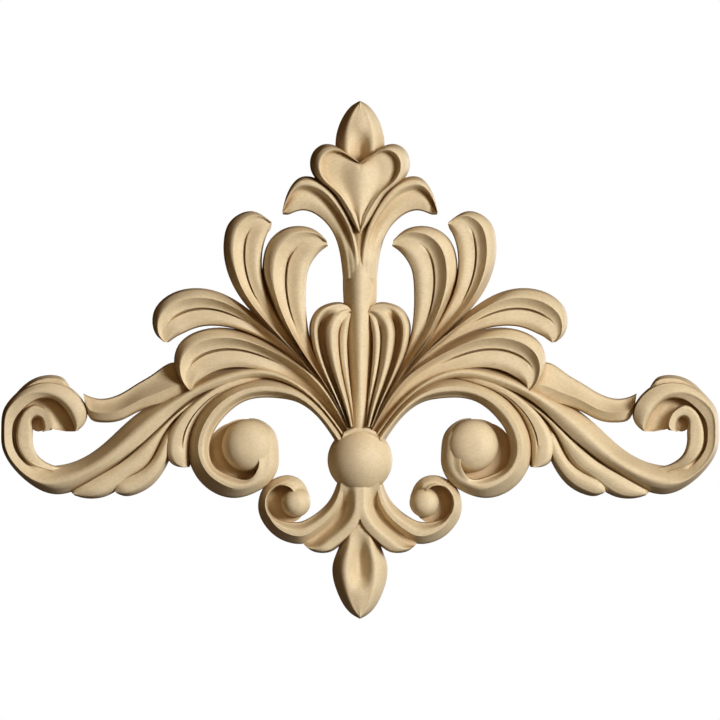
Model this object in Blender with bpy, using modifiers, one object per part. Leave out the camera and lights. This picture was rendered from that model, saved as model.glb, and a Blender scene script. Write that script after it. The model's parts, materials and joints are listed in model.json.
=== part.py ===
"""Carved scroll ornament: an applique moulded in one piece, flat at the back.

The front faces -Y, X runs to the right and Z up. The back lies in the plane Y = 0 and the origin
is on it, behind the centre of the round boss. The ornament is symmetric about X = 0, so the right
half is modelled and mirrored.

Every carved strip lies between two edges. A rung crosses it from one edge to the other and is
written (out, up, out, up) in millimetres: out from the centre line, up from the boss. A smooth
curve joins the rungs from the strip's root to its tip. The strip's section is a moulding that runs
from the first edge to the second, and its relief is its height above the back.
"""

import math

import bmesh
import bpy
import numpy as np
from mathutils import Matrix

MM = 0.001

# Driving sizes in millimetres
EDGE = 2.0                       # thickness of the moulding along its outline
BURIED = 2.0                     # how far each strip runs through the back before it is cut flat
BOSS_RADIUS = 13.0
BOSS_RELIEF = 19.0
STEM_RELIEF = 12.5
BIG_EYE = (44.7, 5.8, 10.6)      # out, up, radius
BIG_EYE_RELIEF = 16.5
SMALL_EYE = (25.7, -17.0, 5.9)
SMALL_EYE_RELIEF = 13.6
EYE_FULLNESS = 2.6               # 2 is a plain ball; more is flatter on top
SCROLL_PIT = (128.6, 14.6, 3.2)
LONG_FACET = 24.0                # one more section for every such length of a straight edge
TURN_FACET = 40.0                # and for every such turn of a curved edge, in degrees

# Rungs of the upright leaves, from the bottom leaf up
LEAF_1 = [(3.9, 12.2, 7.0, 10.0), (20.0, 36.8, 24.0, 28.4), (33.2, 45.6, 35.0, 34.0),
          (62.8, 52.2, 56.4, 35.6), (73.2, 45.0, 62.8, 32.4), (74.4, 39.2, 64.6, 31.0),
          (70.4, 29.6, 66.4, 28.4), (67.8, 27.4, 66.8, 27.4)]
LEAF_2 = [(9.6, 22.4, 10.8, 20.8), (24.0, 41.2, 25.6, 39.2), (37.6, 54.4, 41.6, 49.4),
          (66.0, 68.8, 64.8, 53.0), (78.8, 64.4, 71.2, 50.4), (82.4, 59.6, 73.2, 49.4),
          (81.2, 49.6, 75.8, 47.6), (78.4, 47.2, 76.8, 47.0)]
LEAF_3 = [(16.8, 31.2, 15.2, 32.8), (24.0, 39.6, 22.4, 41.6), (39.2, 54.8, 32.0, 56.4),
          (49.4, 67.2, 37.4, 67.6), (54.0, 78.8, 39.2, 77.6), (54.4, 88.8, 38.6, 85.6),
          (50.4, 97.0, 36.8, 90.8), (43.6, 99.6, 35.8, 92.4), (35.4, 95.2, 35.2, 94.4)]
LEAF_4 = [(6.4, 14.0, 4.0, 14.4), (11.6, 25.2, 9.2, 25.6), (27.6, 47.6, 19.6, 47.6),
          (33.6, 58.0, 21.0, 54.4), (38.2, 69.6, 21.6, 63.2), (39.0, 78.4, 21.2, 73.2),
          (37.2, 86.0, 20.0, 77.6), (28.4, 93.2, 16.8, 82.4), (17.2, 91.6, 14.0, 84.8),
          (13.4, 88.0, 12.8, 85.6)]
EAR_LEAF = [(5.2, 13.2, 2.0, 13.2), (8.8, 21.6, 2.4, 20.0), (17.2, 39.2, 4.2, 35.2),
            (20.2, 50.0, 4.8, 46.4), (20.0, 55.2, 4.6, 50.4), (17.2, 60.2, 4.2, 53.2),
            (12.4, 62.7, 3.8, 55.6), (7.6, 63.1, 3.5, 57.2), (4.4, 61.4, 3.4, 58.2),
            (3.2, 59.4, 3.3, 58.6)]

# Rungs of the crown on the stem
STEM = [(6.4, 10.4, -1.6, 10.4), (5.0, 24.0, -1.6, 24.0), (6.4, 60.0, -1.6, 60.0),
        (6.8, 76.0, -1.6, 76.0), (5.6, 88.0, -1.6, 88.0), (4.0, 100.0, -1.6, 100.0)]
CROWN_LEAF = [(-0.8, 74.0, 6.8, 72.0), (1.6, 91.2, 10.2, 89.6), (7.6, 103.6, 16.8, 97.6),
              (15.6, 111.8, 23.2, 99.8), (24.8, 112.6, 27.4, 98.6),
              (29.0, 106.9, 28.9, 98.1), (31.1, 99.4, 30.9, 98.2)]
HEART = [(0.6, 91.0, -0.8, 90.6), (7.6, 100.8, -0.8, 98.4), (11.6, 107.2, -0.8, 103.2),
         (19.4, 115.2, -0.8, 110.4), (18.0, 124.2, -0.8, 114.4), (14.0, 126.4, -0.8, 115.6),
         (5.2, 123.0, -0.8, 117.2), (-0.2, 118.8, -0.8, 118.4)]
TOP_BUD = [(8.0, 116.8, -0.8, 116.8), (9.6, 123.2, -0.8, 123.2), (8.2, 134.4, -0.8, 133.2),
           (3.0, 142.0, -0.8, 139.6), (-0.2, 143.8, -0.8, 143.1)]

# Rungs below the boss
LOW_BUD = [(5.6, -22.0, -0.8, -22.0), (8.8, -35.6, -0.8, -35.6), (10.8, -41.2, -0.8, -41.2),
           (9.2, -52.6, -0.8, -51.6), (3.4, -61.6, -0.8, -59.6), (-0.2, -63.7, -0.8, -63.1)]
APRON = [(7.6, -8.8, -0.8, -8.8), (9.6, -18.0, -0.8, -20.0), (12.0, -22.4, -0.4, -25.0),
         (15.6, -25.6, 2.4, -29.2), (20.8, -29.4, 9.2, -35.2), (22.4, -31.6, 13.2, -37.1),
         (22.6, -32.8, 19.2, -36.4), (22.4, -34.0, 21.6, -34.6)]
SMALL_SCROLL = [(3.2, -8.0, 8.8, -8.0), (6.0, -18.4, 12.8, -16.8), (13.2, -27.6, 20.8, -23.4),
                (22.4, -33.4, 25.2, -24.8), (29.2, -32.8, 28.8, -24.6), (36.0, -28.6, 34.0, -22.8),
                (40.2, -22.0, 36.6, -19.2), (40.4, -15.2, 36.4, -14.4), (37.8, -10.0, 34.0, -11.4),
                (32.0, -6.5, 30.4, -10.5), (26.4, -6.5, 27.2, -12.2), (22.2, -9.6, 26.4, -14.8),
                (20.0, -14.8, 26.0, -16.4)]

# Rungs of the collar over the boss
COLLAR = [(6.8, 10.8, 5.8, 13.0), (3.0, 11.4, 2.8, 13.6), (-0.8, 11.6, -0.8, 13.8)]

# Rungs of the great scroll beside the boss
BIG_SCROLL = [(5.4, 10.6, 9.5, 6.8), (11.6, 19.0, 15.6, 15.6), (23.2, 29.2, 26.0, 23.4),
              (30.4, 32.0, 32.0, 24.6), (46.8, 31.6, 45.2, 23.8), (60.8, 23.2, 54.8, 16.6),
              (67.6, 12.0, 59.2, 9.2), (68.8, 2.0, 60.0, 2.4), (64.8, -7.6, 57.8, -2.8),
              (56.0, -14.2, 52.0, -6.0), (46.4, -14.7, 45.6, -7.5), (39.6, -11.8, 42.4, -5.6),
              (35.2, -8.0, 40.8, -2.0), (32.6, -2.4, 41.0, 0.8), (32.4, 3.0, 41.6, 3.6),
              (33.2, 9.2, 42.6, 6.4), (36.4, 13.9, 43.6, 9.6), (41.0, 16.4, 44.2, 12.6),
              (44.4, 16.7, 44.6, 15.8)]

# Rungs of the arm, its end scroll and its leaves
ARM = [(5.6, 11.2, 7.6, 8.8), (15.2, 23.4, 16.8, 21.0), (30.4, 35.6, 31.6, 30.8),
       (39.2, 38.2, 39.2, 32.4), (53.6, 36.8, 50.8, 30.4), (64.8, 32.4, 60.4, 27.2),
       (72.8, 28.0, 66.4, 24.4), (88.8, 18.8, 78.8, 13.6), (103.2, 6.0, 92.8, 1.2),
       (116.8, -1.4, 110.0, -10.4), (123.2, -2.4, 118.8, -13.6), (130.4, -2.6, 128.0, -12.0),
       (135.2, 0.4, 138.4, -3.6), (138.2, 5.6, 143.2, 5.2), (138.8, 10.8, 143.7, 12.0),
       (138.0, 15.6, 142.8, 19.6), (135.6, 19.2, 140.0, 24.2), (132.4, 22.2, 136.0, 28.0),
       (128.8, 24.2, 130.4, 30.8), (124.8, 24.6, 124.0, 31.6), (121.2, 23.4, 117.6, 30.0),
       (118.4, 20.8, 113.2, 26.8), (116.0, 17.2, 109.6, 21.6), (114.8, 14.4, 109.1, 17.2),
       (114.2, 12.4, 111.2, 13.2), (114.0, 11.6, 113.2, 11.6)]
INNER_SCROLL = [(115.2, -7.6, 116.0, -2.8), (125.6, -4.8, 124.0, -1.6), (131.6, -3.4, 128.0, 1.0),
                (136.6, 0.4, 130.0, 4.0), (139.4, 5.8, 130.8, 7.6), (139.6, 12.0, 130.8, 10.6),
                (137.9, 17.6, 131.0, 13.2), (134.4, 22.0, 131.2, 15.4), (130.0, 23.8, 130.0, 16.8),
                (126.4, 22.2, 128.4, 16.8), (124.0, 20.0, 127.4, 16.0), (122.4, 16.8, 126.8, 14.0),
                (122.0, 14.0, 126.8, 12.2), (123.4, 12.0, 127.2, 11.2)]
SCROLL_HOLLOW = [(136.0, 20.8, 133.6, 18.4), (132.0, 23.2, 130.8, 19.6),
                 (128.0, 25.2, 128.8, 19.6), (123.6, 25.2, 126.4, 19.2),
                 (118.8, 22.4, 124.4, 16.4), (115.2, 17.6, 123.6, 13.2),
                 (113.8, 12.0, 121.2, 12.0), (113.8, 11.4, 117.6, 11.4)]
BACK_LEAF = [(139.2, 24.8, 136.8, 22.0), (131.2, 32.2, 129.2, 27.6), (121.2, 33.8, 120.8, 28.6),
             (118.4, 32.6, 118.4, 27.8), (116.1, 29.4, 116.4, 27.0)]
TAIL_LEAF = [(68.0, 35.2, 65.6, 25.2), (73.6, 39.0, 70.4, 24.0), (82.8, 34.4, 79.2, 22.0),
             (88.8, 30.8, 85.6, 20.4), (93.2, 28.0, 89.6, 18.8), (98.0, 25.6, 95.2, 16.0),
             (104.8, 24.6, 103.6, 15.0), (108.0, 25.4, 107.6, 16.2), (110.7, 26.7, 110.0, 22.0)]
LOBE_1 = [(63.6, 26.4, 62.4, 25.0), (72.8, 20.0, 70.8, 18.6), (84.8, 8.8, 78.8, 8.0),
          (97.6, -2.0, 85.6, -3.2), (104.8, -6.2, 90.8, -6.8), (113.6, -11.0, 104.0, -15.2),
          (115.4, -12.4, 112.0, -14.9), (115.4, -13.0, 114.2, -14.2)]
LOBE_2 = [(75.2, 14.4, 72.0, 12.8), (78.8, 9.2, 74.4, 5.6), (81.2, 4.0, 75.6, 1.6),
          (88.0, -4.0, 80.4, -7.2), (96.8, -8.4, 89.2, -13.6), (98.8, -10.6, 94.4, -14.4),
          (98.6, -12.2, 97.2, -13.4)]
LOBE_3 = [(37.6, 35.2, 37.6, 32.0), (49.6, 33.6, 48.0, 28.8), (62.0, 27.2, 56.8, 24.8),
          (76.4, 11.6, 66.8, 10.8), (77.8, 6.4, 67.6, 5.6), (72.4, -2.8, 68.0, -2.4),
          (69.6, -3.0, 68.2, -2.8)]


def smooth_curve(rungs, at):
    """A natural cubic spline through the rungs, read at the values in at, from 0 to 1."""
    p = np.array(rungs)
    chords = np.hypot(*np.diff(p[:, :2], axis=0).T) + np.hypot(*np.diff(p[:, 2:], axis=0).T)
    knots = np.concatenate([[0.0], np.cumsum(chords)]) / chords.sum()
    gap = np.diff(knots)
    count = len(knots)
    matrix = np.eye(count)
    right = np.zeros((count, 4))
    for i in range(1, count - 1):
        matrix[i, i - 1:i + 2] = gap[i - 1], 2 * (gap[i - 1] + gap[i]), gap[i]
        right[i] = 6 * ((p[i + 1] - p[i]) / gap[i] - (p[i] - p[i - 1]) / gap[i - 1])
    bend = np.linalg.solve(matrix, right)
    k = np.clip(np.searchsorted(knots, at) - 1, 0, count - 2)
    before = (knots[k + 1] - at)[:, None]
    after = (at - knots[k])[:, None]
    h = gap[k][:, None]
    return ((bend[k] * before ** 3 + bend[k + 1] * after ** 3) / (6 * h)
            + (p[k] / h - bend[k] * h / 6) * before + (p[k + 1] / h - bend[k + 1] * h / 6) * after)


def spread(rungs, stations):
    """Station values from 0 to 1 that lie closer together where the strip's edges turn."""
    at = np.linspace(0.0, 1.0, 241)
    curve = smooth_curve(rungs, at)
    weight = np.zeros(len(at) - 1)
    for edge in (curve[:, :2], curve[:, 2:]):
        run = np.diff(edge, axis=0)
        turn = np.unwrap(np.arctan2(run[:, 1], run[:, 0]))
        weight += np.hypot(run[:, 0], run[:, 1]) / LONG_FACET
        weight += np.abs(np.gradient(turn)) / math.radians(TURN_FACET)
    total = np.concatenate([[0.0], np.cumsum(weight)])
    return np.interp(np.linspace(0.0, total[-1], stations), total, at)


def fade(t, start, end):
    """0 before start, 1 after end, with a smooth passage between them."""
    s = min(1.0, max(0.0, (t - start) / (end - start)))
    return s * s * (3 - 2 * s)


# How each member of a moulding passes from one height to the next
MEMBERS = {
    "flat": lambda s: s,
    "round": lambda s: math.sin(s * math.pi / 2),
    "hollow": lambda s: 1 - math.cos(s * math.pi / 2),
    "ogee": lambda s: (1 - math.cos(s * math.pi)) / 2,
}


def read_section(section, t, width):
    """The moulding at station t as (distance across, height) pairs.

    A member is (part of the width, millimetres on from there, height, how it is reached, steps).
    """
    members = section(t)
    taken = max(m[1] for m in members) - min(m[1] for m in members)
    squeeze = min(1.0, 0.8 * width / max(taken, 0.1))
    points = []
    for part, offset, height, kind, steps in members:
        here = (part * width + offset * squeeze, height)
        if points:
            last = points[-1]
            for step in range(1, steps):
                s = step / steps
                points.append((last[0] + (here[0] - last[0]) * s,
                               last[1] + (here[1] - last[1]) * MEMBERS[kind](s)))
        points.append(here)
    return points


def carve(name, rungs, section, stations, buried=BURIED):
    """A closed solid with the given section lofted along the rungs."""
    mesh = bmesh.new()
    rows = []
    at = spread(rungs, stations)
    for t, (ax, az, bx, bz) in zip(at, smooth_curve(rungs, at)):
        width = math.hypot(bx - ax, bz - az)
        row = []
        for across, height in [(0.0, -buried)] + read_section(section, t, width) + [(width, -buried)]:
            u = across / width
            row.append(mesh.verts.new(((ax + (bx - ax) * u) * MM, -height * MM,
                                       (az + (bz - az) * u) * MM)))
        rows.append(row)
    for row, following in zip(rows, rows[1:]):
        for i in range(len(row)):
            j = (i + 1) % len(row)
            mesh.faces.new((row[i], row[j], following[j], following[i]))
    mesh.faces.new(rows[0])
    mesh.faces.new(rows[-1][::-1])
    return solid(name, mesh)


def dome(name, out, up, radius, relief, foot, segments=40, rings=14, full=2.0):
    """Half a ball on a short round foot, standing on the back plane.

    A fullness over 2 makes the top flatter and the sides steeper.
    """
    mesh = bmesh.new()
    bmesh.ops.create_uvsphere(mesh, u_segments=segments, v_segments=rings, radius=radius * MM)
    bmesh.ops.bisect_plane(mesh, geom=mesh.verts[:] + mesh.edges[:] + mesh.faces[:], dist=1e-7,
                           plane_co=(0, 0, 0), plane_no=(0, 0, 1), clear_inner=True)
    for vert in mesh.verts:
        reach = min(math.hypot(vert.co.x, vert.co.y) / (radius * MM), 1.0)
        vert.co.z = (relief - foot) * MM * (1.0 - reach ** full) ** (1.0 / full)
    rim = [edge for edge in mesh.edges if edge.is_boundary]
    grown = bmesh.ops.extrude_edge_only(mesh, edges=rim)["geom"]
    skirt = [item for item in grown if isinstance(item, bmesh.types.BMVert)]
    for vert in skirt:
        vert.co.z = -(foot + BURIED) * MM
    bmesh.ops.holes_fill(mesh, edges=[edge for edge in mesh.edges if edge.is_boundary])
    for vert in mesh.verts:
        x, y, z = vert.co
        vert.co = (x + out * MM, -z - foot * MM, y + up * MM)
    return solid(name, mesh)


def block(name, x, z, front):
    """A plain block from the back to the given relief."""
    mesh = bmesh.new()
    bmesh.ops.create_cube(mesh, size=1.0)
    for vert in mesh.verts:
        vert.co = ((x[0] + (x[1] - x[0]) * (vert.co.x + 0.5)) * MM,
                   (-front + (front + BURIED) * (vert.co.y + 0.5)) * MM,
                   (z[0] + (z[1] - z[0]) * (vert.co.z + 0.5)) * MM)
    return solid(name, mesh)


def solid(name, mesh):
    """An object from a closed mesh, its faces turned out."""
    bmesh.ops.recalc_face_normals(mesh, faces=mesh.faces)
    if mesh.calc_volume(signed=True) < 0:
        bmesh.ops.reverse_faces(mesh, faces=mesh.faces)
    data = bpy.data.meshes.new(name)
    mesh.to_mesh(data)
    mesh.free()
    return bpy.data.objects.new(name, data)


def leaf_section(relief, root, vein_from, vein_to):
    """A leaf: a crest that wraps the head, a hollow with a cut vein, and a low lobe."""
    def section(t):
        h = relief + (root - relief) * (1 - fade(t, 0.0, 0.5)) - 2.0 * fade(t, 0.85, 1.0)
        leaf = fade(t, 0.32, 0.6)
        edge = EDGE + 6.0 * (1 - fade(t, 0.15, 0.45))
        wall = 0.8 + 1.7 * fade(t, 0.2, 0.4) * (1 - fade(t, 0.55, 0.75))
        vein = 2.6 * fade(t, vein_from, vein_from + 0.14) * (1 - fade(t, vein_to - 0.14, vein_to))
        groove = (0.60 + 0.12 * leaf + 0.14 * fade(t, 0.80, 0.97)) * h
        return [(0.0, 0.0, edge, "flat", 1), (0.0, wall, max(edge, 0.72 * h), "flat", 1),
                (0.25, 0.0, h, "round", 1), (0.50, 0.0, groove, "hollow", 2),
                (0.54, 0.0, groove - vein, "flat", 1), (0.58, 0.0, groove, "flat", 1),
                (0.82, 0.0, (0.56 + 0.22 * leaf) * h, "flat", 1),
                (1.0, -0.6, (0.50 + 0.18 * leaf) * h, "flat", 1), (1.0, 0.0, edge, "flat", 1)]
    return section


def ear_section(t):
    """The moulding of an ear leaf, from its outer edge to the stem."""
    h = 14.5 + 1.0 * (1 - fade(t, 0.0, 0.3)) - 2.5 * fade(t, 0.8, 1.0)
    open_up = 1 - fade(t, 0.72, 0.88)
    low = h * (0.84 - 0.36 * open_up)
    ridge = h * (0.90 + 0.10 * open_up)
    return [(0.0, 0.0, EDGE, "flat", 1), (0.0, 0.9, 0.70 * h, "flat", 1),
            (0.13, 0.0, 0.84 * h, "round", 1), (0.19, 0.0, 0.83 * h, "round", 1),
            (0.28, 0.0, low, "ogee", 1), (0.54, 0.0, ridge, "ogee", 2),
            (0.73, 0.0, 0.80 * h, "round", 1), (0.765, 0.0, (0.80 - 0.10 * open_up) * h, "flat", 1),
            (0.80, 0.0, 0.81 * h, "flat", 1), (1.0, -0.5, 0.76 * h, "round", 1),
            (1.0, 0.0, EDGE, "flat", 1)]


def stem_section(t):
    """Half of a half-round, from the stem's side to its middle."""
    h = STEM_RELIEF - 3.0 * fade(t, 0.72, 0.95)
    return [(0.0, 0.0, EDGE, "flat", 1), (0.0, 0.3, 0.5 * h, "flat", 1),
            (1.0, -1.6, h, "round", 4), (1.0, 0.0, h, "flat", 1)]


def crown_section(t):
    """A round rim along the upper edge, a groove, and a face that swells below it."""
    h = 12.8 - 5.0 * (1 - fade(t, 0.0, 0.34)) - 2.3 * fade(t, 0.8, 1.0)
    return [(0.0, 0.0, EDGE, "flat", 1), (0.0, 0.8, 0.72 * h, "flat", 1),
            (0.13, 0.0, 0.97 * h, "round", 1), (0.22, 0.0, h, "round", 1),
            (0.40, 0.0, 0.62 * h, "ogee", 2), (0.66, 0.0, 0.68 * h, "ogee", 1),
            (1.0, -0.7, 0.60 * h, "round", 1), (1.0, 0.0, EDGE, "flat", 1)]


def heart_section(t):
    """A wide bevel, a rim, and a dished lobe that rises to a ridge in the middle of the heart."""
    h = 15.5 - 1.5 * fade(t, 0.7, 1.0)
    lobe = fade(t, 0.30, 0.6)
    return [(0.0, 0.0, EDGE, "flat", 1), (0.0, 0.8, 0.55 * h, "flat", 1),
            (0.0, 2.6, 0.93 * h, "round", 1), (0.0, 3.9, h, "round", 1),
            (0.0, 5.6, (0.94 - 0.18 * lobe) * h, "flat", 1),
            (0.45, 1.5, (0.88 - 0.10 * lobe) * h, "flat", 1), (1.0, -0.8, 0.95 * h, "ogee", 2),
            (1.0, 0.0, 0.95 * h, "flat", 1)]


def bud_section(dip_from, dip_to, back_from, back_to):
    """A pointed egg with a spoon hollow pressed into the middle, between the given places."""
    def section(t):
        h = 10.2 - 1.4 * fade(t, 0.7, 1.0)
        dip = 4.8 * fade(t, dip_from, dip_to) * (1 - fade(t, back_from, back_to))
        rim = h - 0.3 * (1 - dip / 4.8)
        return [(0.0, 0.0, EDGE, "flat", 1), (0.0, 0.2, 0.34 * h, "flat", 1),
                (0.45, 0.0, rim, "round", 3),
                (1.0, -0.8, h - dip, "ogee", 3), (1.0, 0.0, h - dip, "flat", 1)]
    return section


def apron_section(t):
    """A valley beside the small scroll, then a broad face that runs out into the lobe."""
    h = 13.0 - 1.4 * fade(t, 0.3, 0.7) - 2.0 * fade(t, 0.8, 1.0)
    arch = fade(t, 0.25, 0.45)
    valley = (0.92 - 0.44 * fade(t, 0.0, 0.3)) * h
    return [(0.0, 0.0, valley, "flat", 1), (0.30, 0.0, valley, "flat", 1),
            (0.78 - 0.10 * arch, 0.0, h, "ogee", 3),
            (1.0, -1.2 * arch, (1.0 - 0.06 * arch) * h, "round", 1),
            (1.0, 0.0, h - (h - EDGE) * fade(t, 0.27, 0.36), "flat", 1)]


def scroll_section(relief, bevel, face, end, grown):
    """A wide steep bevel outside, a crest, and a face that falls to the inside of the scroll.

    Past the place given as end the bevel and the crest go, and the strip rounds up into the eye
    and sinks into it.
    """
    def section(t):
        eye = fade(t, end, end + 0.16)
        slope = bevel * (0.75 + 0.35 * fade(t, 0.2, 0.8)) * (1 - 0.55 * eye)
        sink = 0.5 * fade(t, 0.92, 1.0)
        crest = relief * (1 - 0.16 * eye) * (1 - sink)
        inside = (face * relief + (grown - face * relief) * eye) * (1 - sink)
        foot = EDGE + (crest - EDGE) * (0.30 + 0.30 * eye)
        return [(0.0, 0.0, EDGE, "flat", 1), (0.0, 0.3, foot, "flat", 1),
                (0.0, slope, crest, "flat", 1),
                (0.34, 0.66 * slope, crest + 0.10 * eye * relief, "round", 1),
                (1.0, -0.5, inside, "ogee", 2), (1.0, 0.0, EDGE, "flat", 1)]
    return section


def arm_section(t):
    """A straight slope up to the crest, and a round fall beyond it.

    Round the end scroll the crest lies near the outer edge, then crosses to the inner one, which
    is a steep wall.
    """
    h = 12.0 - 0.5 * fade(t, 0.1, 0.3) + 2.0 * fade(t, 0.74, 0.9) - 3.0 * fade(t, 0.95, 1.0)
    curl = fade(t, 0.60, 0.72)
    crest = 0.55 + 0.17 * curl - 0.44 * fade(t, 0.80, 0.92)
    inner = EDGE + 2.6 * curl
    bevel = 0.9 + 1.7 * fade(t, 0.46, 0.58) * (1 - fade(t, 0.64, 0.72))
    return [(0.0, 0.0, inner, "flat", 1),
            (0.0, 0.5, inner + 1.2 + (0.84 * h - inner - 1.2) * curl, "flat", 1),
            (crest, 0.0, h, "flat", 1), (1.0, -bevel, (0.80 + 0.06 * curl) * h, "round", 2),
            (1.0, 0.0, EDGE, "flat", 1)]


def inner_scroll_section(t):
    """The floor of the groove, then the broad strip inside the end scroll."""
    h = 4.5 + 6.7 * fade(t, 0.02, 0.40)
    groove = 0.92 * h + (4.8 - 0.92 * h) * fade(t, 0.24, 0.42)
    pit = fade(t, 0.58, 0.72)
    return [(0.0, 0.0, groove, "flat", 1), (0.22, 0.0, groove, "flat", 1),
            (0.22, 0.5, 0.92 * h, "flat", 1), (0.36, 0.0, h, "round", 1),
            (0.80, 0.0, 0.97 * h, "flat", 1), (1.0, -0.4, (0.84 - 0.10 * pit) * h, "round", 1),
            (1.0, 0.0, EDGE + 3.0 * pit, "flat", 1)]


def hollow_section(t):
    """The floor of the end scroll, deepest beside the curl."""
    return [(0.0, 0.0, 4.2, "flat", 1), (0.45, 0.0, 4.8, "flat", 1), (1.0, 0.0, 7.0, "ogee", 2)]


def strip_section(relief, crest, start=EDGE, cut=0.0):
    """A rounded strip with its crest at the given part of the width, and a vein if cut is given."""
    rise = 0.66 if start == EDGE else 0.86

    def section(t):
        h = relief - 1.6 * fade(t, 0.85, 1.0) - 2.5 * (1 - fade(t, 0.0, 0.18))
        vein = cut * fade(t, 0.3, 0.5) * (1 - fade(t, 0.72, 0.86))
        across = [(0.0, 0.0, start, "flat", 1), (0.0, 0.8, rise * h, "flat", 1),
                  (crest, 0.0, h, "round", 1)]
        if cut:
            across += [(0.60, 0.0, 0.96 * h, "flat", 1), (0.65, 0.0, 0.94 * h - vein, "flat", 1),
                       (0.70, 0.0, 0.92 * h, "flat", 1)]
        return across + [(1.0, -1.0, 0.62 * h, "round", 2), (1.0, 0.0, EDGE, "flat", 1)]
    return section


def tail_section(t):
    """Two faces that meet at a crisp crest."""
    h = 9.4 - 2.0 * fade(t, 0.8, 1.0)
    return [(0.0, 0.0, EDGE, "flat", 1), (0.0, 0.6, 0.45 * h, "flat", 1),
            (0.60, 0.0, h, "hollow", 2), (1.0, -0.9, 0.68 * h, "flat", 1),
            (1.0, 0.0, EDGE, "flat", 1)]


def collar_section(t):
    """A low, slightly rounded ledge."""
    return [(0.0, 0.0, EDGE, "flat", 1), (0.0, 0.2, 12.4, "flat", 1), (0.5, 0.0, 12.9, "round", 1),
            (1.0, -0.3, 12.0, "round", 1), (1.0, 0.0, EDGE, "flat", 1)]


def carvings():
    """Every strip and ball of the right half except the stem."""
    parts = [
        carve("leaf_1", LEAF_1, leaf_section(13.5, 12.5, 0.42, 0.90), 9),
        carve("leaf_2", LEAF_2, leaf_section(11.5, 11.0, 0.50, 0.92), 9),
        carve("leaf_3", LEAF_3, leaf_section(11.5, 11.0, 0.46, 0.88), 9),
        carve("leaf_4", LEAF_4, leaf_section(13.5, 12.0, 0.46, 0.87), 9),
        carve("ear_leaf", EAR_LEAF, ear_section, 8),
        carve("crown_leaf", CROWN_LEAF, crown_section, 9),
        carve("heart", HEART, heart_section, 9),
        carve("top_bud", TOP_BUD, bud_section(-0.2, 0.0, 0.22, 0.62), 7),
        carve("low_bud", LOW_BUD, bud_section(0.12, 0.42, 0.52, 0.76), 9),
        carve("apron", APRON, apron_section, 9),
        carve("small_scroll", SMALL_SCROLL, scroll_section(10.5, 3.8, 0.62, 0.70, 11.7), 16),
        carve("big_scroll", BIG_SCROLL, scroll_section(13.0, 4.4, 0.62, 0.66, 13.6), 22),
        carve("arm", ARM, arm_section, 30),
        carve("inner_scroll", INNER_SCROLL, inner_scroll_section, 14),
        carve("scroll_hollow", SCROLL_HOLLOW, hollow_section, 8),
        carve("back_leaf", BACK_LEAF, strip_section(7.0, 0.3), 6),
        carve("tail_leaf", TAIL_LEAF, tail_section, 9),
        carve("lobe_1", LOBE_1, strip_section(8.6, 0.4, 4.0), 8),
        carve("lobe_2", LOBE_2, strip_section(8.0, 0.4, 4.0), 8),
        carve("lobe_3", LOBE_3, strip_section(9.4, 0.3, 4.0, 2.2), 9),
        carve("collar", COLLAR, collar_section, 4),
        dome("big_eye", *BIG_EYE, BIG_EYE_RELIEF, 4.0, 22, 8, EYE_FULLNESS),
        dome("big_eye_side", 46.6, 4.6, 11.8, 3.0, 2.6, 18, 2),
        dome("big_eye_floor", 49.2, 3.2, 12.0, 2.8, 2.4, 14, 2),
        dome("small_eye", *SMALL_EYE, SMALL_EYE_RELIEF, 4.0, 16, 6, EYE_FULLNESS),
        dome("small_eye_floor", 29.4, -17.6, 7.8, 3.0, 2.6, 12, 2),
        dome("scroll_pit", *SCROLL_PIT, 4.6, 4.0, 12, 2),
        dome("boss", 0.0, 0.0, BOSS_RADIUS, BOSS_RELIEF, 6.0, 20, 8),
        block("seat", (-1.6, 7.1), (8.0, 15.0), 6.0),
    ]
    for number, part in enumerate(parts):
        for vert in part.data.vertices:
            if vert.co.y > 0.0:
                vert.co.y -= 0.05 * number * MM
            elif abs(vert.co.y + EDGE * MM) < 1e-6:
                vert.co.y += 0.015 * number * MM
    return parts


def wood_material():
    """Pale, matt pulp wood."""
    material = bpy.data.materials.new("pale_wood")
    material.use_nodes = True
    shader = material.node_tree.nodes["Principled BSDF"]
    shader.inputs["Base Color"].default_value = (0.66, 0.48, 0.27, 1.0)
    shader.inputs["Roughness"].default_value = 0.62
    shader.inputs["Metallic"].default_value = 0.0
    return material


def new_collection(name):
    """A collection linked to the scene."""
    collection = bpy.data.collections.new(name)
    bpy.context.scene.collection.children.link(collection)
    return collection


def boolean(target, name, operation, operand):
    """A Boolean modifier whose operand is an object or a collection.

    The exact solver leaves open edges where so many strips run together, so this is the manifold
    one. It needs every part closed, and no two faces in one plane: each part's underside and its
    outline therefore lie a hair away from those of the others.
    """
    modifier = target.modifiers.new(name, "BOOLEAN")
    modifier.operation = operation
    modifier.solver = "MANIFOLD"
    if isinstance(operand, bpy.types.Collection):
        modifier.operand_type = "COLLECTION"
        modifier.collection = operand
    else:
        modifier.object = operand


def tool(part, collection):
    """Link a solid that only shapes the ornament."""
    part.hide_render = True
    part.display_type = "WIRE"
    collection.objects.link(part)
    return part


def open_at_centre(data):
    """Take away the faces in the centre plane, so that the mirrored half can join there."""
    mesh = bmesh.new()
    mesh.from_mesh(data)
    for vert in mesh.verts:
        if abs(vert.co.x) < 2e-6:
            vert.co.x = 0.0
    middle = [face for face in mesh.faces if all(vert.co.x == 0.0 for vert in face.verts)]
    bmesh.ops.delete(mesh, geom=middle, context="FACES")
    mesh.to_mesh(data)
    mesh.free()


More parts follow.
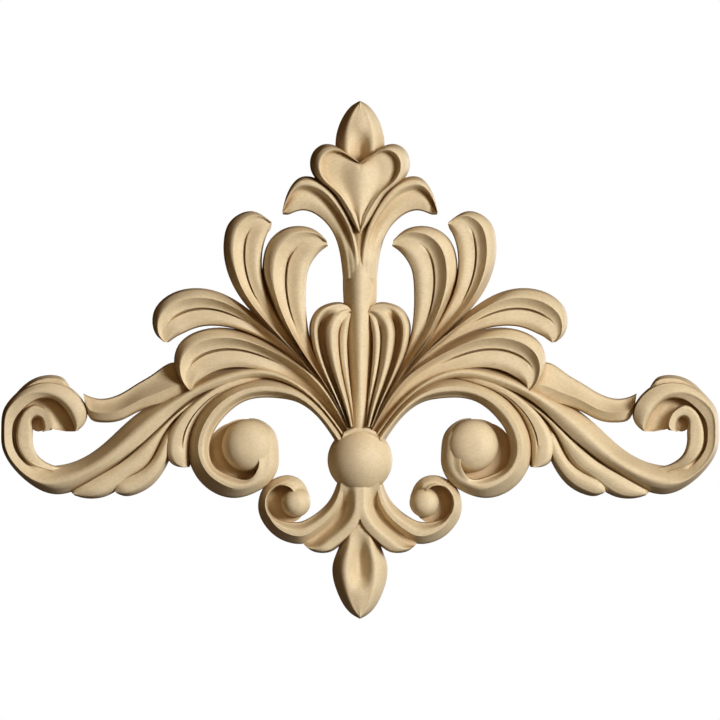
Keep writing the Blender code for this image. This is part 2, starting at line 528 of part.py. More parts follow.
def build():
    """One piece: every carving joined, cut flat at the back and mirrored at the centre line."""
    for item in list(bpy.data.objects):
        bpy.data.objects.remove(item)
    shown = new_collection("scroll_ornament")
    joined = new_collection("carvings")
    cutters = new_collection("cutters")
    for part in carvings():
        tool(part, joined)
    behind = tool(block("behind", (-20.0, 160.0), (-90.0, 160.0), 0.0), cutters)
    behind.data.transform(Matrix.Diagonal((1.0, 8.0, 1.0, 1.0)))
    other_half = tool(block("other_half", (-20.0, 0.0), (-90.0, 160.0), 40.0), cutters)
    other_half.data.transform(Matrix.Diagonal((1.0, 2.0, 1.0, 1.0)))

    half = tool(carve("half", STEM, stem_section, 7, BURIED + 0.1), cutters)
    boolean(half, "join_carvings", "UNION", joined)
    boolean(half, "flat_back", "DIFFERENCE", behind)
    boolean(half, "centre_line", "DIFFERENCE", other_half)
    bpy.context.view_layer.update()
    cut = half.evaluated_get(bpy.context.evaluated_depsgraph_get())
    data = bpy.data.meshes.new_from_object(cut)
    open_at_centre(data)

    ornament = bpy.data.objects.new("ornament", data)
    data.materials.clear()
    data.materials.append(wood_material())
    shown.objects.link(ornament)
    halves = ornament.modifiers.new("two_halves", "MIRROR")
    halves.use_axis = (True, False, False)
    halves.merge_threshold = 0.000002
    data.shade_smooth()
    data.set_sharp_from_angle(angle=math.radians(35))


build()
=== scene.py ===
"""A carved scroll ornament for furniture, pressed from wood pulp in one piece."""

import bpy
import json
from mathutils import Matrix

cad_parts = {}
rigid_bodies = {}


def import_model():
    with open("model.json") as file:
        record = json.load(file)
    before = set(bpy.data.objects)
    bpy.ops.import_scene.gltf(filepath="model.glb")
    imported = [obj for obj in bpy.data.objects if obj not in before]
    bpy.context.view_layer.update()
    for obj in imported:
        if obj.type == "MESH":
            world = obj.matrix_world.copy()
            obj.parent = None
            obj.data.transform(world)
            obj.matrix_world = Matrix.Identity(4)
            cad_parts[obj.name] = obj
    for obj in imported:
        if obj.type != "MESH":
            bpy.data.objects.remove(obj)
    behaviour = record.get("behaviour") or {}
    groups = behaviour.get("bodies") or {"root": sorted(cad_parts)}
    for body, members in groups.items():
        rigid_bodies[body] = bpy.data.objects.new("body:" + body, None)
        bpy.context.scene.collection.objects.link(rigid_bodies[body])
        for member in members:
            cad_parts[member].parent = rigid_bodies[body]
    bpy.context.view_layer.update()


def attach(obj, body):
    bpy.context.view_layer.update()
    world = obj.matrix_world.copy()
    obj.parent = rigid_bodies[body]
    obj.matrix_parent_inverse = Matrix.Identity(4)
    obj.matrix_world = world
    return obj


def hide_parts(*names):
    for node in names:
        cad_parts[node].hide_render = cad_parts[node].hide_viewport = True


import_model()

import json
import math

import bmesh
import bpy
import numpy as np
from mathutils import Vector
from mathutils.bvhtree import BVHTree

# THE FANNED LEAVES
# Four long leaves of pressed pulp fan out on each side of the stem. Each has a crest that wraps
# round its head, a hollow with a cut vein, and a low lobe towards the next leaf down. Like every
# form below, a leaf is a strip with a moulded section, and all of them are pressed as one piece.
MM = 0.001
EDGE = 2.0  # the height of a thin edge, in millimetres like every size of the ornament
EDGE_STEP = 0.015  # each strip's edge is this much lower than the last, so that no two line up
BURIED = 2.0  # how far a strip runs through the back, before the back is cut flat
BURIED_STEP = 0.05  # each strip runs this much less far than the last, for the same reason
TINY = 1e-9
CURVE_SAMPLES = 481
STATION_RUN = 16.0  # one more station for this length of an edge
STATION_TURN = math.radians(40)  # and one more for this turn
FIXED_SHARE = 0.8  # the part of a narrow strip's width that members in millimetres may take


def smooth_curve(rungs, at):
    """A natural cubic spline through the rungs (out, up, out, up), read at the values in at."""
    p = np.array(rungs)
    chords = np.hypot(*np.diff(p[:, :2], axis=0).T) + np.hypot(*np.diff(p[:, 2:], axis=0).T)
    knots = np.concatenate([[0.0], np.cumsum(chords)]) / chords.sum()
    gap = np.diff(knots)
    count = len(knots)
    matrix = np.eye(count)
    right = np.zeros((count, 4))
    for i in range(1, count - 1):
        matrix[i, i - 1:i + 2] = gap[i - 1], 2 * (gap[i - 1] + gap[i]), gap[i]
        right[i] = 6 * ((p[i + 1] - p[i]) / gap[i] - (p[i] - p[i - 1]) / gap[i - 1])
    bend = np.linalg.solve(matrix, right)
    k = np.clip(np.searchsorted(knots, at) - 1, 0, count - 2)
    before = (knots[k + 1] - at)[:, None]
    after = (at - knots[k])[:, None]
    h = gap[k][:, None]
    return ((bend[k] * before ** 3 + bend[k + 1] * after ** 3) / (6 * h)
            + (p[k] / h - bend[k] * h / 6) * before + (p[k + 1] / h - bend[k + 1] * h / 6) * after)


def spread(rungs, stations):
    """Station values from 0 to 1 that lie closer together where the strip's edges turn."""
    at = np.linspace(0.0, 1.0, CURVE_SAMPLES)
    curve = smooth_curve(rungs, at)
    weight = np.zeros(len(at) - 1)
    for edge in (curve[:, :2], curve[:, 2:]):
        run = np.diff(edge, axis=0)
        turn = np.unwrap(np.arctan2(run[:, 1], run[:, 0]))
        weight += np.hypot(run[:, 0], run[:, 1]) / STATION_RUN + np.abs(np.gradient(turn)) / STATION_TURN
    total = np.concatenate([[0.0], np.cumsum(weight)])
    return np.interp(np.linspace(0.0, total[-1], stations), total, at)


def fade(t, start, end):
    """0 before start, 1 after end, with a smooth passage between them."""
    s = min(1.0, max(0.0, (t - start) / (end - start)))
    return s * s * (3 - 2 * s)


def member(kind, s, rising):
    """How far a moulding's member has come at s: swell bulges out, hollow dips in."""
    if kind == "flat":
        return s
    if kind == "ogee":
        return (1 - math.cos(s * math.pi)) / 2
    if (kind == "swell") == rising:
        return math.sin(s * math.pi / 2)
    return 1 - math.cos(s * math.pi / 2)


def read_section(section, t, width):
    """The moulding at t as (distance across, height) pairs.

    A member is (part of the width, millimetres on from there, height, its kind, its steps). Where
    the strip is narrow, the millimetres shrink to fit.
    """
    members = section(t)
    taken = max(m[1] for m in members) - min(m[1] for m in members)
    squeeze = min(1.0, FIXED_SHARE * width / max(taken, 0.1))
    points = []
    for part, offset, height, kind, steps in members:
        here = (part * width + offset * squeeze, height)
        if points:
            last = points[-1]
            for step in range(1, steps):
                s = step / steps
                points.append((last[0] + (here[0] - last[0]) * s,
                               last[1] + (here[1] - last[1]) * member(kind, s, here[1] > last[1])))
        points.append(here)
    return points


def closed(name, mesh):
    """An object from a closed mesh, its faces turned out."""
    bmesh.ops.recalc_face_normals(mesh, faces=mesh.faces)
    if mesh.calc_volume(signed=True) < 0:
        bmesh.ops.reverse_faces(mesh, faces=mesh.faces)
    data = bpy.data.meshes.new(name)
    mesh.to_mesh(data)
    mesh.free()
    return bpy.data.objects.new(name, data)


carvings = bpy.data.collections.new("carvings")


def carve(name, rungs, section, stations):
    """Loft the section along the rungs, as a closed solid that runs through the back plane."""
    number = len(carvings.objects)
    buried = BURIED - BURIED_STEP * number
    mesh = bmesh.new()
    rows = []
    at = spread(rungs, stations)
    for t, (ax, az, bx, bz) in zip(at, smooth_curve(rungs, at)):
        width = math.hypot(bx - ax, bz - az)
        row = []
        for across, height in [(0.0, -buried)] + read_section(section, t, width) + [(width, -buried)]:
            u = across / width
            if abs(height - EDGE) < TINY:
                height -= EDGE_STEP * number
            row.append(mesh.verts.new(((ax + (bx - ax) * u) * MM, -height * MM,
                                       (az + (bz - az) * u) * MM)))
        rows.append(row)
    for row, following in zip(rows, rows[1:]):
        for i in range(len(row)):
            j = (i + 1) % len(row)
            mesh.faces.new((row[i], row[j], following[j], following[i]))
    mesh.faces.new(rows[0])
    mesh.faces.new(rows[-1][::-1])
    carvings.objects.link(closed(name, mesh))


LEAF_FOOT = 9.2
LEAF_1 = [(3.9, 12.2, 7.0, 10.0), (20.0, 36.8, 24.0, 28.4), (33.2, 45.6, 35.0, 34.0),
          (62.8, 52.2, 56.4, 35.6), (73.2, 45.0, 62.8, 32.4), (74.4, 39.2, 64.6, 31.0),
          (70.4, 29.6, 66.4, 28.4), (67.8, 27.4, 66.8, 27.4)]
LEAF_2 = [(9.6, 22.4, 10.8, 20.8), (24.0, 41.2, 25.6, 39.2), (37.6, 54.4, 41.6, 49.4),
          (66.0, 68.8, 64.8, 53.0), (78.8, 64.4, 71.2, 50.4), (82.4, 59.6, 73.2, 49.4),
          (81.2, 49.6, 75.8, 47.6), (78.4, 47.2, 76.8, 47.0)]
LEAF_3 = [(16.8, 31.2, 15.2, 32.8), (24.0, 39.6, 22.4, 41.6), (39.2, 54.8, 32.0, 56.4),
          (49.4, 67.2, 37.4, 67.6), (54.0, 78.8, 39.2, 77.6), (54.4, 88.8, 38.6, 85.6),
          (50.4, 97.0, 36.8, 90.8), (43.6, 99.6, 35.8, 92.4), (35.4, 95.2, 35.2, 94.4)]
LEAF_4 = [(6.4, 14.0, 4.0, 14.4), (11.6, 25.2, 9.2, 25.6), (27.6, 47.6, 19.6, 47.6),
          (33.6, 58.0, 21.0, 54.4), (38.2, 69.6, 21.6, 63.2), (39.0, 78.4, 21.2, 73.2),
          (37.2, 86.0, 20.0, 77.6), (28.4, 93.2, 16.8, 82.4), (17.2, 91.6, 14.0, 84.8),
          (13.4, 88.0, 12.8, 85.6)]


def leaf_section(relief, root, vein_from, vein_to):
    """The moulding of a fanned leaf, from its outer edge to its inner one.

    The vein is cut in the open part of the leaf. At the root the leaves lie close together on a
    raised foot, and each is a plain ridge. The tip is nearly flat.
    """
    def section(t):
        h = relief + (root - relief) * (1 - fade(t, 0.0, 0.5)) - 2.0 * fade(t, 0.85, 1.0)
        leaf = fade(t, 0.32, 0.6)
        tip = fade(t, 0.80, 0.97)
        edge = EDGE + (LEAF_FOOT - EDGE) * (1 - fade(t, 0.15, 0.45))
        wall = 0.8 + 1.7 * fade(t, 0.2, 0.4) * (1 - fade(t, 0.55, 0.75))
        vein = 2.8 * fade(t, vein_from, vein_from + 0.14) * (1 - fade(t, vein_to - 0.14, vein_to))
        groove = (0.60 + 0.12 * leaf + 0.14 * tip) * h
        return [(0.0, 0.0, edge, "flat", 1), (0.0, wall, max(edge, 0.72 * h), "flat", 3),
                (0.25, 0.0, h, "swell", 8), (0.50, 0.0, groove, "hollow", 8),
                (0.535, 0.0, groove - vein, "flat", 2), (0.57, 0.0, groove, "flat", 2),
                (0.82, 0.0, (0.56 + 0.22 * leaf + 0.08 * tip) * h, "ogee", 6),
                (1.0, -0.6, (0.50 + 0.18 * leaf) * h, "swell", 4), (1.0, 0.0, edge, "flat", 3)]
    return section


carve("leaf_1", LEAF_1, leaf_section(relief=13.5, root=12.5, vein_from=0.42, vein_to=0.90),
      46)
carve("leaf_2", LEAF_2, leaf_section(relief=11.5, root=11.0, vein_from=0.50, vein_to=0.92),
      46)
carve("leaf_3", LEAF_3, leaf_section(relief=11.5, root=11.0, vein_from=0.46, vein_to=0.88),
      42)
carve("leaf_4", LEAF_4, leaf_section(relief=13.5, root=12.0, vein_from=0.46, vein_to=0.87),
      46)

# THE EAR LEAF
# A short leaf stands against the stem on each side, pressed in one with it. It is the most deeply
# cut: two rims with a high, rounded ridge between them.
EAR_LEAF = [(5.2, 13.2, 2.0, 13.2), (8.8, 21.6, 2.4, 20.0), (17.2, 39.2, 4.2, 35.2),
            (20.2, 50.0, 4.8, 46.4), (20.0, 55.2, 4.6, 50.4), (17.2, 60.2, 4.2, 53.2),
            (12.4, 62.7, 3.8, 55.6), (7.6, 63.1, 3.5, 57.2), (4.4, 61.4, 3.4, 58.2),
            (3.2, 59.4, 3.3, 58.6)]
EAR_RELIEF = 14.5


def ear_section(t):
    """The moulding of an ear leaf, from its outer edge to the stem."""
    h = EAR_RELIEF + 1.0 * (1 - fade(t, 0.0, 0.3)) - 2.5 * fade(t, 0.8, 1.0)
    open_up = 1 - fade(t, 0.72, 0.88)
    low = h * (0.84 - 0.48 * open_up)
    ridge = h * (0.90 + 0.10 * open_up)
    return [(0.0, 0.0, EDGE, "flat", 1), (0.0, 0.9, 0.70 * h, "flat", 3),
            (0.13, 0.0, 0.84 * h, "swell", 4), (0.19, 0.0, 0.83 * h, "swell", 2),
            (0.26, 0.0, low, "flat", 4), (0.38, 0.0, low, "flat", 3),
            (0.46, 0.0, 0.93 * ridge, "flat", 3), (0.57, 0.0, ridge, "swell", 5),
            (0.73, 0.0, 0.80 * h, "swell", 6), (0.765, 0.0, (0.80 - 0.10 * open_up) * h, "flat", 2),
            (0.80, 0.0, 0.81 * h, "flat", 2),
            (0.89, 0.0, 0.84 * h, "swell", 3), (1.0, -0.5, 0.74 * h, "swell", 3),
            (1.0, 0.0, EDGE, "flat", 2)]


carve("ear_leaf", EAR_LEAF, ear_section, 44)

# THE STEM AND ITS CROWN
# A half-round stem rises from the boss to a crown: two side leaves, a heart-shaped leaf over them
# and a bud at the top. Only one side of each is shaped, and the other is its mirror image.
STEM = [(6.4, 10.4, -1.6, 10.4), (5.0, 24.0, -1.6, 24.0), (6.4, 60.0, -1.6, 60.0),
        (6.8, 76.0, -1.6, 76.0), (5.6, 88.0, -1.6, 88.0), (4.0, 100.0, -1.6, 100.0)]
CROWN_LEAF = [(-0.8, 74.0, 6.8, 72.0), (1.6, 91.2, 10.2, 89.6), (7.6, 103.6, 16.8, 97.6),
              (15.6, 111.8, 23.2, 99.8), (24.8, 112.6, 27.4, 98.6),
              (29.0, 106.9, 28.9, 98.1), (31.1, 99.4, 30.9, 98.2)]
HEART = [(0.6, 91.0, -0.8, 90.6), (7.6, 100.8, -0.8, 98.4), (11.6, 107.2, -0.8, 103.2),
         (19.4, 115.2, -0.8, 110.4), (18.0, 124.2, -0.8, 114.4), (14.0, 126.4, -0.8, 115.6),
         (5.2, 123.0, -0.8, 117.2), (-0.2, 118.8, -0.8, 118.4)]
TOP_BUD = [(8.0, 116.8, -0.8, 116.8), (9.6, 123.2, -0.8, 123.2), (8.2, 134.4, -0.8, 133.2),
           (3.0, 142.0, -0.8, 139.6), (-0.2, 143.76, -0.8, 143.1)]
STEM_RELIEF = 12.5
CROWN_RELIEF = 12.8
HEART_RELIEF = 15.5
BUD_RELIEF = 10.2
BUD_SPOON = 4.8  # the depth of the hollow in a bud


def stem_section(t):
    """Half of a half-round, from the stem's side to its middle."""
    h = STEM_RELIEF - 3.0 * fade(t, 0.72, 0.95)
    return [(0.0, 0.0, EDGE, "flat", 1), (0.0, 0.3, 0.5 * h, "flat", 2),
            (1.0, -1.6, h, "swell", 18), (1.0, 0.0, h, "flat", 1)]


def crown_section(t):
    """A round rim along the upper edge, a groove, and a face that swells below it.

    At the root the leaf is as round as the stem that it grows out of.
    """
    h = CROWN_RELIEF - 1.4 * (1 - fade(t, 0.0, 0.14)) - 2.3 * fade(t, 0.8, 1.0)
    leaf = fade(t, 0.08, 0.42)
    return [(0.0, 0.0, EDGE, "flat", 1), (0.0, 0.8, 0.72 * h, "flat", 3),
            (0.13, 0.0, 0.97 * h, "swell", 5), (0.22, 0.0, h, "swell", 3),
            (0.40, 0.0, (0.97 - 0.35 * leaf) * h, "ogee", 8),
            (0.66, 0.0, (0.89 - 0.21 * leaf) * h, "ogee", 6),
            (1.0, -0.7, (0.56 + 0.04 * leaf) * h, "swell", 6), (1.0, 0.0, EDGE, "flat", 3)]


def heart_section(t):
    """A wide bevel, a rim, and a dished lobe that rises to a ridge in the middle of the heart."""
    h = HEART_RELIEF - 1.5 * fade(t, 0.7, 1.0)
    lobe = fade(t, 0.30, 0.6)
    return [(0.0, 0.0, EDGE, "flat", 1), (0.0, 0.8, 0.55 * h, "flat", 3),
            (0.0, 2.6, 0.93 * h, "swell", 5), (0.0, 3.9, h, "swell", 3),
            (0.0, 5.6, (0.94 - 0.18 * lobe) * h, "ogee", 6),
            (0.45, 1.5, (0.88 - 0.10 * lobe) * h, "ogee", 5), (1.0, -0.8, 0.95 * h, "ogee", 12),
            (1.0, 0.0, 0.95 * h, "flat", 1)]


def bud_section(dip_from, dip_to, back_from, back_to):
    """A pointed egg with a spoon hollow pressed into the middle, between the given places."""
    def section(t):
        h = BUD_RELIEF - 1.4 * fade(t, 0.7, 1.0)
        dip = BUD_SPOON * fade(t, dip_from, dip_to) * (1 - fade(t, back_from, back_to))
        rim = h - 0.3 * (1 - dip / BUD_SPOON)
        return [(0.0, 0.0, EDGE, "flat", 1), (0.0, 0.2, 0.34 * h, "flat", 2),
                (0.45, 0.0, rim, "swell", 14),
                (1.0, -0.8, h - dip, "ogee", 14), (1.0, 0.0, h - dip, "flat", 1)]
    return section


carve("stem", STEM, stem_section, 30)
carve("crown_leaf", CROWN_LEAF, crown_section, 46)
carve("heart", HEART, heart_section, 44)
carve("top_bud", TOP_BUD, bud_section(dip_from=-0.2, dip_to=0.0, back_from=0.22, back_to=0.62),
      34)

# BELOW THE BOSS
# An apron drops from the boss and splits into two low lobes over a hanging bud, and a small
# scroll curls round its eye on each side. All are pressed in one with the boss.
LOW_BUD = [(5.6, -22.0, -0.8, -22.0), (8.8, -35.6, -0.8, -35.6), (10.8, -41.2, -0.8, -41.2),
           (9.2, -52.6, -0.8, -51.6), (3.4, -61.6, -0.8, -59.6), (-0.2, -63.67, -0.8, -63.1)]
APRON = [(7.6, -8.8, -0.8, -8.8), (9.6, -18.0, -0.8, -20.0), (12.0, -22.4, -0.4, -25.0),
         (15.6, -25.6, 2.4, -29.2), (20.8, -29.4, 9.2, -35.2), (22.4, -31.6, 13.2, -37.1),
         (22.6, -32.8, 19.2, -36.4), (22.4, -34.0, 21.6, -34.6)]
SMALL_SCROLL = [(3.2, -8.0, 8.8, -8.0), (6.0, -18.4, 12.8, -16.8), (13.2, -27.6, 20.8, -23.4),
                (22.4, -33.4, 25.2, -24.8), (29.2, -32.8, 28.8, -24.6), (36.0, -28.6, 34.0, -22.8),
                (40.2, -22.0, 36.6, -19.2), (40.4, -15.2, 36.4, -14.4), (37.8, -10.0, 34.0, -11.4),
                (32.0, -6.5, 30.4, -10.5), (26.4, -6.5, 27.2, -12.2), (22.2, -9.6, 26.4, -14.8),
                (20.0, -14.8, 26.0, -16.4)]
APRON_RELIEF = 13.0
SMALL_EYE = (25.7, -17.0, 5.9)
SMALL_EYE_FLOOR = (29.4, -17.6, 7.8)
EYE_FULLNESS = 2.6


def apron_section(t):
    """A valley beside the small scroll, then a broad face that runs out into the lobe."""
    h = APRON_RELIEF - 1.4 * fade(t, 0.3, 0.7) - 2.0 * fade(t, 0.8, 1.0)
    arch = fade(t, 0.25, 0.45)
    valley = (0.92 - 0.44 * fade(t, 0.0, 0.3)) * h
    return [(0.0, 0.0, valley, "flat", 1), (0.30, 0.0, valley, "flat", 2),
            (0.78 - 0.10 * arch, 0.0, h, "ogee", 12),
            (1.0, -1.2 * arch, (1.0 - 0.06 * arch) * h, "swell", 4),
            (1.0, 0.0, h - (h - EDGE) * fade(t, 0.27, 0.36), "flat", 2)]


def scroll_section(relief, bevel, face, end, grown):
    """A wide steep bevel outside, a crest, and a face that falls to the inside of the scroll.

    Past the place given as end the bevel and the crest go, and the strip rounds up into the eye
    and sinks into it.
    """
    def section(t):
        eye = fade(t, end, end + 0.16)
        slope = bevel * (0.75 + 0.35 * fade(t, 0.2, 0.8)) * (1 - 0.55 * eye)
        sink = 0.5 * fade(t, 0.92, 1.0)
        crest = relief * (1 - 0.16 * eye) * (1 - sink)
        fall = (face - 0.26 * (1 - fade(t, 0.05, 0.3))) * relief
        inside = (fall + (grown - fall) * eye) * (1 - sink)
        foot = EDGE + (crest - EDGE) * (0.30 + 0.30 * eye)
        return [(0.0, 0.0, EDGE, "flat", 1), (0.0, 0.3, foot, "flat", 2),
                (0.0, slope, crest, "flat", 5),
                (0.34, 0.66 * slope, crest + 0.10 * eye * relief, "swell", 4),
                (1.0, -0.5, inside, "ogee", 9), (1.0, 0.0, EDGE, "flat", 3)]
    return section


def dome(name, place, relief, foot, segments, rings, full=2.0):
    """Half a ball on a round foot, flatter on top and steeper at the sides when fuller than 2.

    Its place is (out, up, radius).
    """
    out, up, radius = place
    buried = BURIED - BURIED_STEP * len(carvings.objects)
    mesh = bmesh.new()
    bmesh.ops.create_uvsphere(mesh, u_segments=segments, v_segments=rings, radius=radius * MM)
    bmesh.ops.bisect_plane(mesh, geom=mesh.verts[:] + mesh.edges[:] + mesh.faces[:], dist=1e-7,
                           plane_co=(0, 0, 0), plane_no=(0, 0, 1), clear_inner=True)
    for vert in mesh.verts:
        reach = min(math.hypot(vert.co.x, vert.co.y) / (radius * MM), 1.0)
        vert.co.z = (relief - foot) * MM * (1.0 - reach ** full) ** (1.0 / full)
    rim = [edge for edge in mesh.edges if edge.is_boundary]
    grown = bmesh.ops.extrude_edge_only(mesh, edges=rim)["geom"]
    for vert in [item for item in grown if isinstance(item, bmesh.types.BMVert)]:
        vert.co.z = -(foot + buried) * MM
    bmesh.ops.holes_fill(mesh, edges=[edge for edge in mesh.edges if edge.is_boundary])
    for vert in mesh.verts:
        x, y, z = vert.co
        vert.co = (x + out * MM, -z - foot * MM, y + up * MM)
    carvings.objects.link(closed(name, mesh))


carve("low_bud", LOW_BUD, bud_section(dip_from=0.12, dip_to=0.42, back_from=0.52, back_to=0.76), 40)
carve("apron", APRON, apron_section, 36)
carve("small_scroll", SMALL_SCROLL,
      scroll_section(relief=10.5, bevel=3.8, face=0.62, end=0.70, grown=11.7), 90)
dome("small_eye", SMALL_EYE, relief=13.6, foot=4.0, segments=56, rings=28, full=EYE_FULLNESS)
dome("small_eye_floor", SMALL_EYE_FLOOR, relief=3.0, foot=2.6, segments=40, rings=4)

# THE GREAT SCROLL
# A broad band springs from beside the boss on each side, turns round a large eye and rounds up
# into it. The eye is a full round button on two low floors that close the turn's middle.
BIG_SCROLL = [(5.4, 10.6, 9.5, 6.8), (11.6, 19.0, 15.6, 15.6), (23.2, 29.2, 26.0, 23.4),
              (30.4, 32.0, 32.0, 24.6), (46.8, 31.6, 45.2, 23.8), (60.8, 23.2, 54.8, 16.6),
              (67.6, 12.0, 59.2, 9.2), (68.8, 2.0, 60.0, 2.4), (64.8, -7.6, 57.8, -2.8),
              (56.0, -14.2, 52.0, -6.0), (46.4, -14.7, 45.6, -7.5), (39.6, -11.8, 42.4, -5.6),
              (35.2, -8.0, 40.8, -2.0), (32.6, -2.4, 41.0, 0.8), (32.4, 3.0, 41.6, 3.6),
              (33.2, 9.2, 42.6, 6.4), (36.4, 13.9, 43.6, 9.6), (41.0, 16.4, 44.2, 12.6),
              (44.4, 16.7, 44.6, 15.8)]
BIG_EYE = (44.7, 5.8, 10.6)
BIG_EYE_SIDE = (46.6, 4.6, 11.8)
BIG_EYE_FLOOR = (49.2, 3.2, 12.0)

carve("big_scroll", BIG_SCROLL,
      scroll_section(relief=13.0, bevel=4.4, face=0.62, end=0.66, grown=13.6), 120)
dome("big_eye", BIG_EYE, relief=15.2, foot=4.0, segments=90, rings=44, full=EYE_FULLNESS)
dome("big_eye_side", BIG_EYE_SIDE, relief=3.0, foot=2.6, segments=80, rings=4)
dome("big_eye_floor", BIG_EYE_FLOOR, relief=2.8, foot=2.4, segments=56, rings=4)

# THE ARM AND ITS END SCROLL
# A long arm sweeps from the leaves out to the side and curls over in an end scroll, with a smaller
# strip curled inside it and a thin leaf behind.
ARM = [(5.6, 11.2, 7.6, 8.8), (15.2, 23.4, 16.8, 21.0), (30.4, 35.6, 31.6, 30.8),
       (39.2, 38.2, 39.2, 32.4), (53.6, 36.8, 50.8, 30.4), (64.8, 32.4, 60.4, 27.2),
       (72.8, 28.0, 66.4, 24.4), (88.8, 18.8, 78.8, 13.6), (103.2, 6.0, 92.8, 1.2),
       (116.8, -1.4, 110.0, -10.4), (123.2, -2.4, 118.8, -13.6), (130.4, -2.6, 128.0, -12.0),
       (135.2, 0.4, 138.4, -3.6), (138.2, 5.6, 143.2, 5.2), (138.8, 10.8, 143.57, 12.0),
       (138.0, 15.6, 142.8, 19.6), (135.6, 19.2, 140.0, 24.2), (132.4, 22.2, 136.0, 28.0),
       (128.8, 24.2, 130.4, 30.8), (124.8, 24.6, 124.0, 31.6), (121.2, 23.4, 117.6, 30.0),
       (118.4, 20.8, 113.2, 26.8), (116.0, 17.2, 109.6, 21.6), (114.8, 14.4, 109.1, 17.2),
       (114.2, 12.4, 111.2, 13.2), (114.0, 11.6, 113.2, 11.6)]
INNER_SCROLL = [(115.2, -7.6, 116.0, -2.8), (125.6, -4.8, 124.0, -1.6), (131.6, -3.4, 128.0, 1.0),
                (136.6, 0.4, 130.0, 4.0), (139.4, 5.8, 130.8, 7.6), (139.6, 12.0, 130.8, 10.6),
                (137.9, 17.6, 131.0, 13.2), (134.4, 22.0, 131.2, 15.4), (130.0, 23.8, 130.0, 16.8),
                (126.4, 22.2, 128.4, 16.8), (124.0, 20.0, 127.4, 16.0), (122.4, 16.8, 126.8, 14.0),
                (122.0, 14.0, 126.8, 12.2), (123.4, 12.0, 127.2, 11.2)]
SCROLL_HOLLOW = [(136.0, 20.8, 133.6, 18.4), (132.0, 23.2, 130.8, 19.6),
                 (128.0, 25.2, 128.8, 19.6), (123.6, 25.2, 126.4, 19.2),
                 (118.8, 22.4, 124.4, 16.4), (115.2, 17.6, 123.6, 13.2),
                 (113.8, 12.0, 121.2, 12.0), (113.8, 11.4, 117.6, 11.4)]
BACK_LEAF = [(139.2, 24.8, 136.8, 22.0), (131.2, 32.2, 129.2, 27.6), (121.2, 33.8, 120.8, 28.6),
             (118.4, 32.6, 118.4, 27.8), (116.1, 29.4, 116.4, 27.0)]
SCROLL_PIT = (128.6, 14.6, 3.2)
ARM_RELIEF = 12.0


def arm_section(t):
    """A straight slope up to the crest, and a round fall beyond it.

    Round the end scroll the crest lies near the outer edge, then crosses to the inner one, which
    is a steep wall.
    """
    h = ARM_RELIEF - 0.5 * fade(t, 0.1, 0.3) + 2.0 * fade(t, 0.74, 0.9) - 3.0 * fade(t, 0.95, 1.0)
    curl = fade(t, 0.60, 0.72)
    crest = 0.55 + 0.17 * curl - 0.44 * fade(t, 0.80, 0.92)
    inner = EDGE + 2.6 * curl
    bevel = 0.9 + 1.7 * fade(t, 0.46, 0.58) * (1 - fade(t, 0.64, 0.72))
    wall = inner + 1.2 + (0.84 * h - inner - 1.2) * curl
    return [(0.0, 0.0, inner, "flat", 1), (0.0, 0.5, wall, "flat", 2),
            (crest - 0.13, 0.0, 0.95 * h, "flat", 4), (crest, 0.0, h, "swell", 5),
            (1.0, -bevel, (0.80 + 0.06 * curl) * h, "swell", 8), (1.0, -0.3, EDGE + 1.5, "flat", 4),
            (1.0, 0.0, EDGE, "flat", 1)]


def inner_scroll_section(t):
    """The floor of the groove, then the broad strip inside the end scroll."""
    h = 4.5 + 6.7 * fade(t, 0.02, 0.40)
    groove = 0.92 * h + (4.8 - 0.92 * h) * fade(t, 0.24, 0.42)
    pit = fade(t, 0.58, 0.72)
    return [(0.0, 0.0, groove, "flat", 1), (0.22, 0.0, groove, "flat", 1),
            (0.22, 0.5, 0.92 * h, "flat", 3), (0.36, 0.0, h, "swell", 4),
            (0.80, 0.0, 0.97 * h, "flat", 3),
            (1.0, -0.4, (0.84 - 0.10 * pit) * h, "swell", 4), (1.0, 0.0, EDGE + 3.0 * pit, "flat", 2)]


def hollow_section(t):
    """The floor of the end scroll, deepest beside the curl."""
    return [(0.0, 0.0, 4.2, "flat", 1), (0.45, 0.0, 4.8, "flat", 2), (1.0, 0.0, 7.0, "ogee", 6)]


def strip_section(relief, crest, start=EDGE, cut=0.0):
    """A rounded strip with its crest at the given part of the width, and a vein if cut is given."""
    rise = 0.66 if start == EDGE else 0.86

    def section(t):
        h = relief - 1.6 * fade(t, 0.85, 1.0) - 2.5 * (1 - fade(t, 0.0, 0.18))
        vein = cut * fade(t, 0.3, 0.5) * (1 - fade(t, 0.72, 0.86))
        return [(0.0, 0.0, start, "flat", 1), (0.0, 0.8, rise * h, "flat", 2),
                (crest, 0.0, h, "swell", 8), (0.62, 0.0, 0.96 * h, "swell", 2),
                (0.66, 0.0, 0.94 * h - vein, "flat", 2), (0.70, 0.0, 0.92 * h, "flat", 2),
                (1.0, -1.0, 0.62 * h, "swell", 6), (1.0, 0.0, EDGE, "flat", 2)]
    return section


carve("arm", ARM, arm_section, 190)
carve("inner_scroll", INNER_SCROLL, inner_scroll_section, 100)
carve("scroll_hollow", SCROLL_HOLLOW, hollow_section, 30)
carve("back_leaf", BACK_LEAF, strip_section(relief=7.0, crest=0.3), 30)
dome("scroll_pit", SCROLL_PIT, relief=4.6, foot=4.0, segments=32, rings=4)

